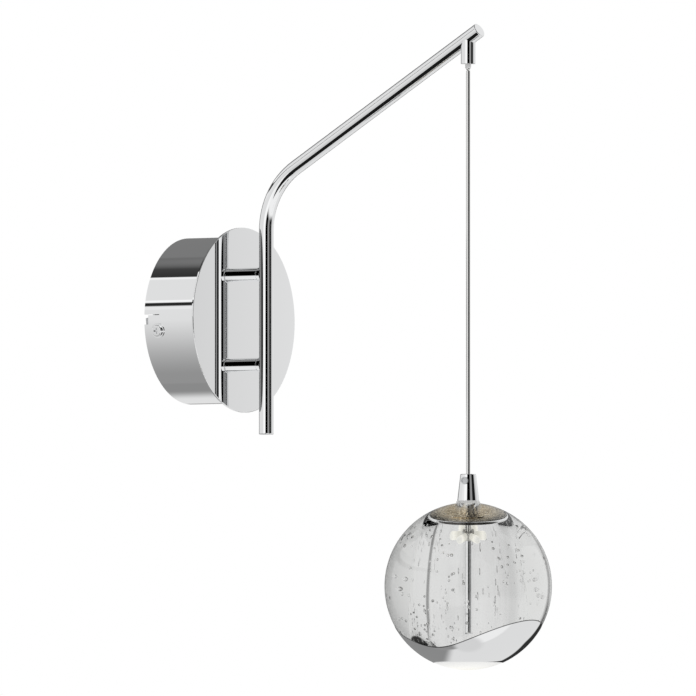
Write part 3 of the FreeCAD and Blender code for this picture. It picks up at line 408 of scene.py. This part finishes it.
def lit_lens():
    """Frosted disc, lit from above: brightest and a little yellow in the middle."""
    material, graph, shader = principled("lit_lens", (0.25, 0.25, 0.24), 0.4)
    radius = pendant_radius(graph)
    tone = graph.ramp(graph.remap(radius, 0.0, LENS_SEAT_RADIUS, smooth=False),
                      [(0.0, (1.0, 0.97, 0.86, 1)), (0.5, (0.97, 0.96, 0.92, 1)), (1.0, (0.8, 0.8, 0.8, 1))])
    graph.join(tone, shader.inputs["Emission Color"])
    shader.inputs["Emission Strength"].default_value = 0.72
    return material


def paint_nodes():
    """Gives each CAD node its material."""
    polished = chrome()
    zinc = zinc_steel()
    metal = brass()
    white = plastic("white_plastic", (0.86, 0.86, 0.84), 0.35)
    chosen = {
        "canopy_can": polished, "canopy_face": face_chrome(),
        "standoff_upper": polished, "standoff_lower": polished,
        "arm_tube": polished, "arm_foot_cap": polished, "arm_tip_cap": polished,
        "cable_outlet_tube": polished, "cone_grip": polished, "neck_sleeve": polished, "grip_screw": zinc,
        "canopy_side_screws": polished, "canopy_side_washers": polished,
        "centre_tube": polished, "centre_tube_tip": polished,
        "wall_bracket": zinc, "driver_screws": zinc, "terminal_block_screws": zinc, "standoff_washers": zinc,
        "standoff_nuts": zinc, "nipple_nut": polished, "threaded_nipple": polished,
        "terminal_screws": metal, "earth_screw": metal, "earth_tag": metal,
        "led_driver": white,
        "terminal_block": plastic("block_plastic", (0.78, 0.78, 0.74), 0.3),
        "inlet_grommet": plastic("grommet_rubber", (0.04, 0.04, 0.04), 0.6),
        "live_lead": plastic("live_jacket", (0.22, 0.09, 0.04), 0.35),
        "neutral_lead": plastic("neutral_jacket", (0.04, 0.12, 0.45), 0.35),
        "earth_lead": plastic("earth_jacket", (0.25, 0.5, 0.05), 0.35),
        "arm_lead": plastic("lead_jacket", (0.6, 0.6, 0.58), 0.35),
        "outlet_bush": plastic("bush_plastic", (0.7, 0.7, 0.7), 0.3),
        # painted light: the glass bush is no lamp but glows a little, standing in for the LEDs' light falling
        # on it
        "glass_bush": glowing("bush_painted_glow", (1.0, 0.99, 0.95), 0.35), "tube_plug": white,
        "ceiling_gasket": gilt(), "heat_spreader": gilt(),
        "top_seal": plastic("seal_rubber", (0.75, 0.75, 0.74), 0.4),
        "led_hub": plastic("hub_white", (0.88, 0.88, 0.86), 0.4),
        "led_chips": glowing("led_glow", (1.0, 0.96, 0.88), 1.5),
        "led_lenses": lens_glow(),
        "pendant_wires": plastic("wire_jacket", (0.8, 0.8, 0.78), 0.35),
        "bottom_lens": lit_lens(),
        "swivel_bead": cable_jacket(),
    }
    for name, material in chosen.items():
        for slot in nodes[name].material_slots:
            slot.material = material
    return chosen


# ---- cable ----

def make_cable(material):
    points = [Vector((0, PENDANT_Y, CABLE_TOP)),
              Vector((0, PENDANT_Y, CABLE_TOP - CABLE_LEAD)),
              Vector((0, PENDANT_Y, CABLE_END + CABLE_LEAD)),
              Vector((0, PENDANT_Y, CABLE_END))]
    curve = bpy.data.curves.new("hanging_cable", "CURVE")
    curve.dimensions = "3D"
    curve.bevel_depth = CABLE_RADIUS
    curve.bevel_resolution = 10
    curve.use_fill_caps = True
    spline = curve.splines.new("NURBS")
    spline.points.add(len(points) - 1)
    for point, place in zip(spline.points, points):
        point.co = (*place, 1)
    spline.order_u = 3
    spline.use_endpoint_u = True
    cable = bpy.data.objects.new("hanging_cable", curve)
    bpy.context.scene.collection.objects.link(cable)
    curve.materials.append(material)
    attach(cable, "cable")
    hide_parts("pendant_cable")


# ---- glass ball ----

def arc_points(start, middle, end, count):
    """Points on the circle through three points of the axial plane, from start to end."""
    ax, ay = start
    bx, by = middle
    cx, cy = end
    a_square = ax ** 2 + ay ** 2
    b_square = bx ** 2 + by ** 2
    c_square = cx ** 2 + cy ** 2
    d = 2 * (ax * (by - cy) + bx * (cy - ay) + cx * (ay - by))
    ux = (a_square * (by - cy) + b_square * (cy - ay) + c_square * (ay - by)) / d
    uy = (a_square * (cx - bx) + b_square * (ax - cx) + c_square * (bx - ax)) / d
    radius = math.hypot(ax - ux, ay - uy)
    first = math.atan2(ay - uy, ax - ux)
    last = math.atan2(cy - uy, cx - ux)
    passing = math.atan2(by - uy, bx - ux)
    turn = (last - first) % (2 * math.pi)
    if (passing - first) % (2 * math.pi) > turn:
        turn -= 2 * math.pi
    angles = [first + turn * i / count for i in range(count + 1)]
    return [(ux + radius * math.cos(angle), uy + radius * math.sin(angle)) for angle in angles]


def around(angle):
    """Level unit vector at an angle round the pendant's axis, in radians."""
    return Vector((math.cos(angle), math.sin(angle), 0))


def bell(low_steps, high_steps, top):
    """The hollow's side in the axial plane, from its floor up to a height."""
    wide = (CAVITY_WIDE_RADIUS, CAVITY_WIDE)
    side = arc_points((OPENING_RADIUS, CAVITY_FLOOR), (CAVITY_LOW_RADIUS, CAVITY_LOW), wide, low_steps)
    return side + arc_points(wide, (CAVITY_MID_RADIUS, CAVITY_MID), (CAVITY_TOP_RADIUS, top), high_steps)[1:]


def ball_profile():
    """Closed outline of the glass in the axial plane, as (radius, height), starting at the top hole."""
    hole_top = math.sqrt(BALL_RADIUS ** 2 - BALL_HOLE_RADIUS ** 2)
    rim = -math.sqrt(BALL_RADIUS ** 2 - LENS_SEAT_RADIUS ** 2)
    outside = arc_points((BALL_HOLE_RADIUS, hole_top), (BALL_RADIUS, 0), (LENS_SEAT_RADIUS, rim),
                         OUTSIDE_STEPS)
    seat = [(LENS_SEAT_RADIUS, LENS_SEAT), (OPENING_RADIUS, LENS_SEAT)]
    side = bell(BELL_LOW_STEPS, BELL_HIGH_STEPS, PLATE_CONTACT - CAVITY_ROUND)
    inset = CAVITY_ROUND * CORNER_MIDDLE
    corner = arc_points((CAVITY_TOP_RADIUS, PLATE_CONTACT - CAVITY_ROUND),
                        (CAVITY_TOP_RADIUS - inset, PLATE_CONTACT - inset),
                        (CAVITY_TOP_RADIUS - CAVITY_ROUND, PLATE_CONTACT), CORNER_STEPS)
    pocket = [(GASKET_POCKET_RADIUS, PLATE_CONTACT), (GASKET_POCKET_RADIUS, CEILING)]
    hole_low = [(BALL_HOLE_RADIUS, CEILING)]
    return outside + seat + side + corner[1:] + pocket + hole_low


def lathe(mesh, profile, segments):
    """Adds a closed profile turned round the pendant's axis to a bmesh, and gives the new faces."""
    rings = []
    for radius, height in profile:
        ring = []
        for i in range(segments):
            angle = 2 * math.pi * i / segments
            ring.append(mesh.verts.new(pendant_axis(height) + around(angle) * radius))
        rings.append(ring)
    made = []
    for j in range(len(rings)):
        here = rings[j]
        after = rings[(j + 1) % len(rings)]
        for i in range(segments):
            k = (i + 1) % segments
            made.append(mesh.faces.new((here[i], after[i], after[k], here[k])))
    return made


def cavity_radius(height):
    """Roughly the hollow's radius at a height above the ball's middle."""
    profile = bell(ROUGH_STEPS, ROUGH_STEPS, CEILING)
    near = min(profile, key=lambda place: abs(place[1] - height))
    return near[0] if height < CEILING else 0.0


def bubble_places(rng):
    """Places and sizes of the bubbles in the glass, in loose clusters."""
    clusters = []
    while len(clusters) < BUBBLE_CLUSTERS:
        azimuth = rng.uniform(0, 2 * math.pi)
        height = rng.uniform(*BUBBLE_HEIGHTS)
        inner = cavity_radius(height)
        outer = math.sqrt(max(BALL_RADIUS ** 2 - height ** 2, 0))
        distance = rng.uniform(inner + CLUSTER_FROM_HOLLOW, outer - CLUSTER_FROM_OUTSIDE)
        clusters.append((azimuth, height, distance))
    found = []
    while len(found) < BUBBLE_COUNT:
        azimuth, height, distance = rng.choice(clusters)
        centre = around(azimuth) * distance + Vector((0, 0, height))
        centre += Vector((rng.gauss(0, 1), rng.gauss(0, 1), rng.gauss(0, 1))) * BUBBLE_SPREAD
        size = BUBBLE_SMALLEST + (BUBBLE_LARGEST - BUBBLE_SMALLEST) * rng.random() ** BUBBLE_SIZE_POWER
        flat = math.hypot(centre.x, centre.y)
        if centre.length + size > BALL_RADIUS - BUBBLE_SKIN:
            continue
        if flat - size < max(cavity_radius(centre.z), BALL_HOLE_RADIUS) + BUBBLE_SKIN:
            continue
        if any((centre - other).length < size + other_size + BUBBLE_GAP for other, other_size in found):
            continue
        found.append((centre, size))
    return found


def add_bubbles(mesh, places):
    """Adds round hollows to the glass, with their faces turned to the air inside them."""
    template = bmesh.new()
    bmesh.ops.create_icosphere(template, subdivisions=3, radius=1.0)
    corners = [vert.co.copy() for vert in template.verts]
    triangles = [[vert.index for vert in reversed(face.verts)] for face in template.faces]
    template.free()
    for centre, size in places:
        verts = [mesh.verts.new(pendant_axis(0) + centre + corner * size) for corner in corners]
        for triangle in triangles:
            mesh.faces.new([verts[i] for i in triangle])


def finish_piece(mesh, name, material, replaced):
    """Turns a bmesh into a smooth piece with crisp corners, which hangs with the pendant."""
    for face in mesh.faces:
        face.smooth = True
    for edge in mesh.edges:
        edge.smooth = edge.calc_face_angle(0) <= SHARP_ANGLE
    data = bpy.data.meshes.new(name)
    mesh.to_mesh(data)
    mesh.free()
    data.materials.append(material)
    piece = bpy.data.objects.new(name, data)
    bpy.context.scene.collection.objects.link(piece)
    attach(piece, "pendant")
    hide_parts(replaced)
    return piece


def make_ball():
    """The thick glass with its hollow and its bubbles."""
    mesh = bmesh.new()
    shell = lathe(mesh, ball_profile(), BALL_SEGMENTS)
    bmesh.ops.recalc_face_normals(mesh, faces=shell)
    add_bubbles(mesh, bubble_places(random.Random(BUBBLE_SEED)))
    ball = finish_piece(mesh, "bubbled_glass_ball", clear_glass(), "glass_ball")


def coating_height(azimuth):
    """Height of the coating's wavy edge at an angle round the ball, in radians."""
    phase = COATING_LOBES * (azimuth - math.radians(COATING_CREST_AZIMUTH))
    return COATING_MEAN + COATING_WAVE * math.cos(phase)


def make_coating():
    """The mirrored skin, from its wavy edge down to the lens, with a true edge thickness."""
    inner = BALL_RADIUS + COATING_GAP
    outer = inner + COATING_THICK
    low = -math.sqrt(BALL_RADIUS ** 2 - LENS_SEAT_RADIUS ** 2)
    mesh = bmesh.new()
    columns = []
    for i in range(BALL_SEGMENTS):
        azimuth = 2 * math.pi * i / BALL_SEGMENTS
        top = coating_height(azimuth)
        column = []
        for radius, rows in ((outer, range(COATING_STEPS + 1)), (inner, range(COATING_STEPS, -1, -1))):
            for j in rows:
                height = low + (top - low) * j / COATING_STEPS
                flat = math.sqrt(radius ** 2 - height ** 2)
                column.append(mesh.verts.new(pendant_axis(height) + around(azimuth) * flat))
        columns.append(column)
    size = len(columns[0])
    for i in range(BALL_SEGMENTS):
        here = columns[i]
        after = columns[(i + 1) % BALL_SEGMENTS]
        for j in range(size):
            k = (j + 1) % size
            mesh.faces.new((here[j], after[j], after[k], here[k]))
    bmesh.ops.recalc_face_normals(mesh, faces=mesh.faces)
    skin = finish_piece(mesh, "mirror_skin", mirror_skin(), "mirror_coating")


# ---- studio ----
# The studio that the polished metal reflects, as brightness. Azimuths are from the camera, positive to the
# picture's right; elevations are above the horizon; both in degrees.

# round the horizon: a black flag in front, one on the right, and white on the left of the front one
HORIZON = [(-180, 0.24), (-150, 0.28), (-128, 0.36), (-100, 0.6), (-66, 0.77), (-56, 0.86), (-46, 1.0),
           (-15, 1.0), (-13, 0.0), (19, 0.0), (21, 0.27), (45, 0.31), (46.5, 0.01), (83, 0.01), (85, 0.54),
           (100, 0.62), (113, 0.73), (117, 0.78), (144, 0.84), (160, 0.7), (180, 0.24)]
# up the left side: bright wall with a thin black batten, and a black valance under the ceiling
LEFT_SIDE = [(-90, 0.25), (-55, 0.3), (-36, 0.45), (-20, 0.6), (0, 0.77), (12, 0.78), (12.5, 0.85),
             (16, 0.85), (16.4, 0.02), (20, 0.02), (20.5, 1.0), (22.4, 1.0), (23, 0.78), (45, 0.78),
             (46, 0.95), (47.3, 0.95), (47.7, 0.03), (54, 0.05), (57, 0.2), (90, 0.2)]
LEFT_SIDE_REACH = (-134, -48)
LEFT_SIDE_SOFTNESS = 4.0
# each panel: name, azimuths, elevations, softness, brightness; limits past 180 or 90 degrees are open
ALL_ROUND = (-400, 400)
ALL_HEIGHTS = (-200, 200)
FAR_PANELS = [
    ("ceiling", ALL_ROUND, (60, 200), 5.0, 0.18),
    ("rear_wall_high", (-400, -128), (6, 61), 6.0, 0.2),
]
NEAR_PANELS = [
    ("front_floor", (-48, 88), (-200, -14), 5.0, 0.92),
    ("front_floor_flag", (-48, 2), (-74, -29), 1.5, 0.01),
    ("front_flag", (-13.5, 19.5), (-10, 50), 1.0, 0.0),
    ("nadir", ALL_ROUND, (-200, -76), 4.0, 0.7),
    ("right_rear_flag", (152, 400), (-24, -3), 2.0, 0.03),
]
# the floor behind the light, below REAR_FLOOR_TOP and outside the azimuths REAR_FLOOR_FRONT, with a grey
# cloth on its left; the cloth's edge is where a direction's sideways part over its upright part is this
REAR_FLOOR_FRONT = (-134, 88)
REAR_FLOOR_TOP = -10
REAR_FLOOR_SOFTNESS = 5.0
REAR_FLOOR_EDGE = (-0.36, -0.2)
REAR_FLOOR_SHADES = (0.27, 0.78)
# what shows through the glass, round the horizon; the grey from -113 to -107 darkens the ball's right rim
THROUGH_GLASS = [(-180, 0.75), (-116, 0.75), (-113, 0.3), (-107, 0.3), (-103, 0.75), (-84, 0.75),
                 (-56, 0.86), (-46, 1.0), (-15, 1.0), (-13, 0.0), (19, 0.0), (21, 0.27), (45, 0.31),
                 (46.5, 0.02), (83, 0.02), (85, 0.4), (92, 0.6), (102, 0.68), (116, 0.62), (131, 0.64),
                 (146, 0.72), (154, 0.75), (180, 0.75)]
# the light on everything that is neither mirror nor glass
PLAIN_LIGHT = 0.75


def panel(graph, turn, rise, turns, rises, softness):
    """1 inside a patch of the studio, 0 outside, from its azimuth and elevation limits in degrees."""
    left = graph.remap(turn, turns[0] - softness, turns[0] + softness)
    right = graph.remap(turn, turns[1] - softness, turns[1] + softness, 1.0, 0.0)
    under = graph.remap(rise, rises[0] - softness, rises[0] + softness)
    over = graph.remap(rise, rises[1] - softness, rises[1] + softness, 1.0, 0.0)
    return graph.math("MULTIPLY", graph.math("MULTIPLY", left, right), graph.math("MULTIPLY", under, over))


def add_panels(graph, turn, rise, room, panels):
    """The room with each panel laid over it in turn."""
    for _, turns, rises, softness, shade in panels:
        room = graph.mix(panel(graph, turn, rise, turns, rises, softness), room, (shade, shade, shade, 1))
    return room


def rear_floor(graph, direction, turn, rise, room):
    """The room with the floor behind the light and its cloth laid over it."""
    right, _, _ = picture_directions()
    lateral = graph.math("ADD", graph.math("MULTIPLY", direction.outputs["X"], right.x),
                         graph.math("MULTIPLY", direction.outputs["Y"], right.y))
    slope = graph.math("DIVIDE", lateral, graph.math("ABSOLUTE", direction.outputs["Z"]))
    cloth = graph.remap(slope, *REAR_FLOOR_EDGE, *REAR_FLOOR_SHADES)
    front = panel(graph, turn, rise, REAR_FLOOR_FRONT, ALL_ROUND, REAR_FLOOR_SOFTNESS)
    behind = graph.math("SUBTRACT", 1.0, front)
    low = graph.remap(rise, REAR_FLOOR_TOP - REAR_FLOOR_SOFTNESS, REAR_FLOOR_TOP + REAR_FLOOR_SOFTNESS,
                      1.0, 0.0)
    return graph.mix(graph.math("MULTIPLY", behind, low), room, graph.tint(cloth))


def make_world():
    world = bpy.data.worlds.new("studio")
    bpy.context.scene.world = world
    world.use_nodes = True
    world.node_tree.nodes.clear()
    graph = Graph(world.node_tree)
    direction = graph.coordinates("Generated")
    azimuth = graph.math("ARCTAN2", direction.outputs["Y"], direction.outputs["X"])
    degrees = graph.math("DEGREES", azimuth)
    shifted = graph.math("SUBTRACT", degrees, CAMERA_AZIMUTH - 180)
    turn = graph.math("SUBTRACT", graph.math("FLOORED_MODULO", shifted, 360.0), 180.0)
    rise = graph.math("DEGREES", graph.math("ARCSINE", direction.outputs["Z"]))
    round_place = graph.math("DIVIDE", graph.math("ADD", turn, 180.0), 360.0)
    up_place = graph.math("DIVIDE", graph.math("ADD", rise, 90.0), 180.0)
    room = graph.ramp(round_place, [((angle + 180) / 360, shade) for angle, shade in HORIZON])
    left_side = graph.ramp(up_place, [((angle + 90) / 180, shade) for angle, shade in LEFT_SIDE])
    room = add_panels(graph, turn, rise, room, FAR_PANELS)
    reach = panel(graph, turn, rise, LEFT_SIDE_REACH, ALL_HEIGHTS, LEFT_SIDE_SOFTNESS)
    room = graph.mix(reach, room, left_side)
    room = rear_floor(graph, direction, turn, rise, room)
    room = add_panels(graph, turn, rise, room, NEAR_PANELS)
    through = graph.ramp(round_place, [((angle + 180) / 360, shade) for angle, shade in THROUGH_GLASS])
    rays = graph.node("ShaderNodeLightPath")
    plain = (PLAIN_LIGHT, PLAIN_LIGHT, PLAIN_LIGHT, 1)
    white = (1.0, 1.0, 1.0, 1)
    light = graph.mix(rays.outputs["Is Glossy Ray"], plain, room)
    light = graph.mix(rays.outputs["Is Transmission Ray"], light, through)
    light = graph.mix(rays.outputs["Is Camera Ray"], light, white)
    background = graph.node("ShaderNodeBackground")
    graph.join(light, background.inputs["Color"])
    background.inputs["Strength"].default_value = 1.0
    output = graph.node("ShaderNodeOutputWorld")
    graph.join(background.outputs[0], output.inputs["Surface"])


def make_lamp(name, location, size, power):
    data = bpy.data.lights.new(name, "AREA")
    data.shape = "DISK"
    data.size = size
    data.energy = power
    lamp = bpy.data.objects.new(name, data)
    lamp.location = location
    lamp.rotation_mode = "QUATERNION"
    lamp.rotation_quaternion = (Vector(LAMP_AIM) - Vector(location)).to_track_quat("-Z", "Y")
    lamp.visible_glossy = False
    lamp.visible_transmission = False
    lamp.visible_camera = False
    bpy.context.scene.collection.objects.link(lamp)


def make_floor():
    mesh = bpy.data.meshes.new("floor")
    sides = ((-1, -1), (1, -1), (1, 1), (-1, 1))
    corners = [(x * FLOOR_HALF, y * FLOOR_HALF, FLOOR_Z) for x, y in sides]
    mesh.from_pydata(corners, [], [(0, 1, 2, 3)])
    floor = bpy.data.objects.new("floor", mesh)
    bpy.context.scene.collection.objects.link(floor)
    material, graph, shader = principled("pale_floor", (0.9, 0.9, 0.9), 0.8)
    speckled(graph, shader, (0.9, 0.9, 0.9), 2.0, 0.01)
    mesh.materials.append(material)
    floor.visible_glossy = False
    floor.visible_transmission = False


def make_studio():
    bpy.context.scene.view_settings.view_transform = "Standard"
    make_world()
    for lamp in LAMPS:
        make_lamp(*lamp)
    make_floor()


make_camera()
shades = paint_nodes()
make_cable(shades["swivel_bead"])
make_ball()
make_coating()
make_studio()
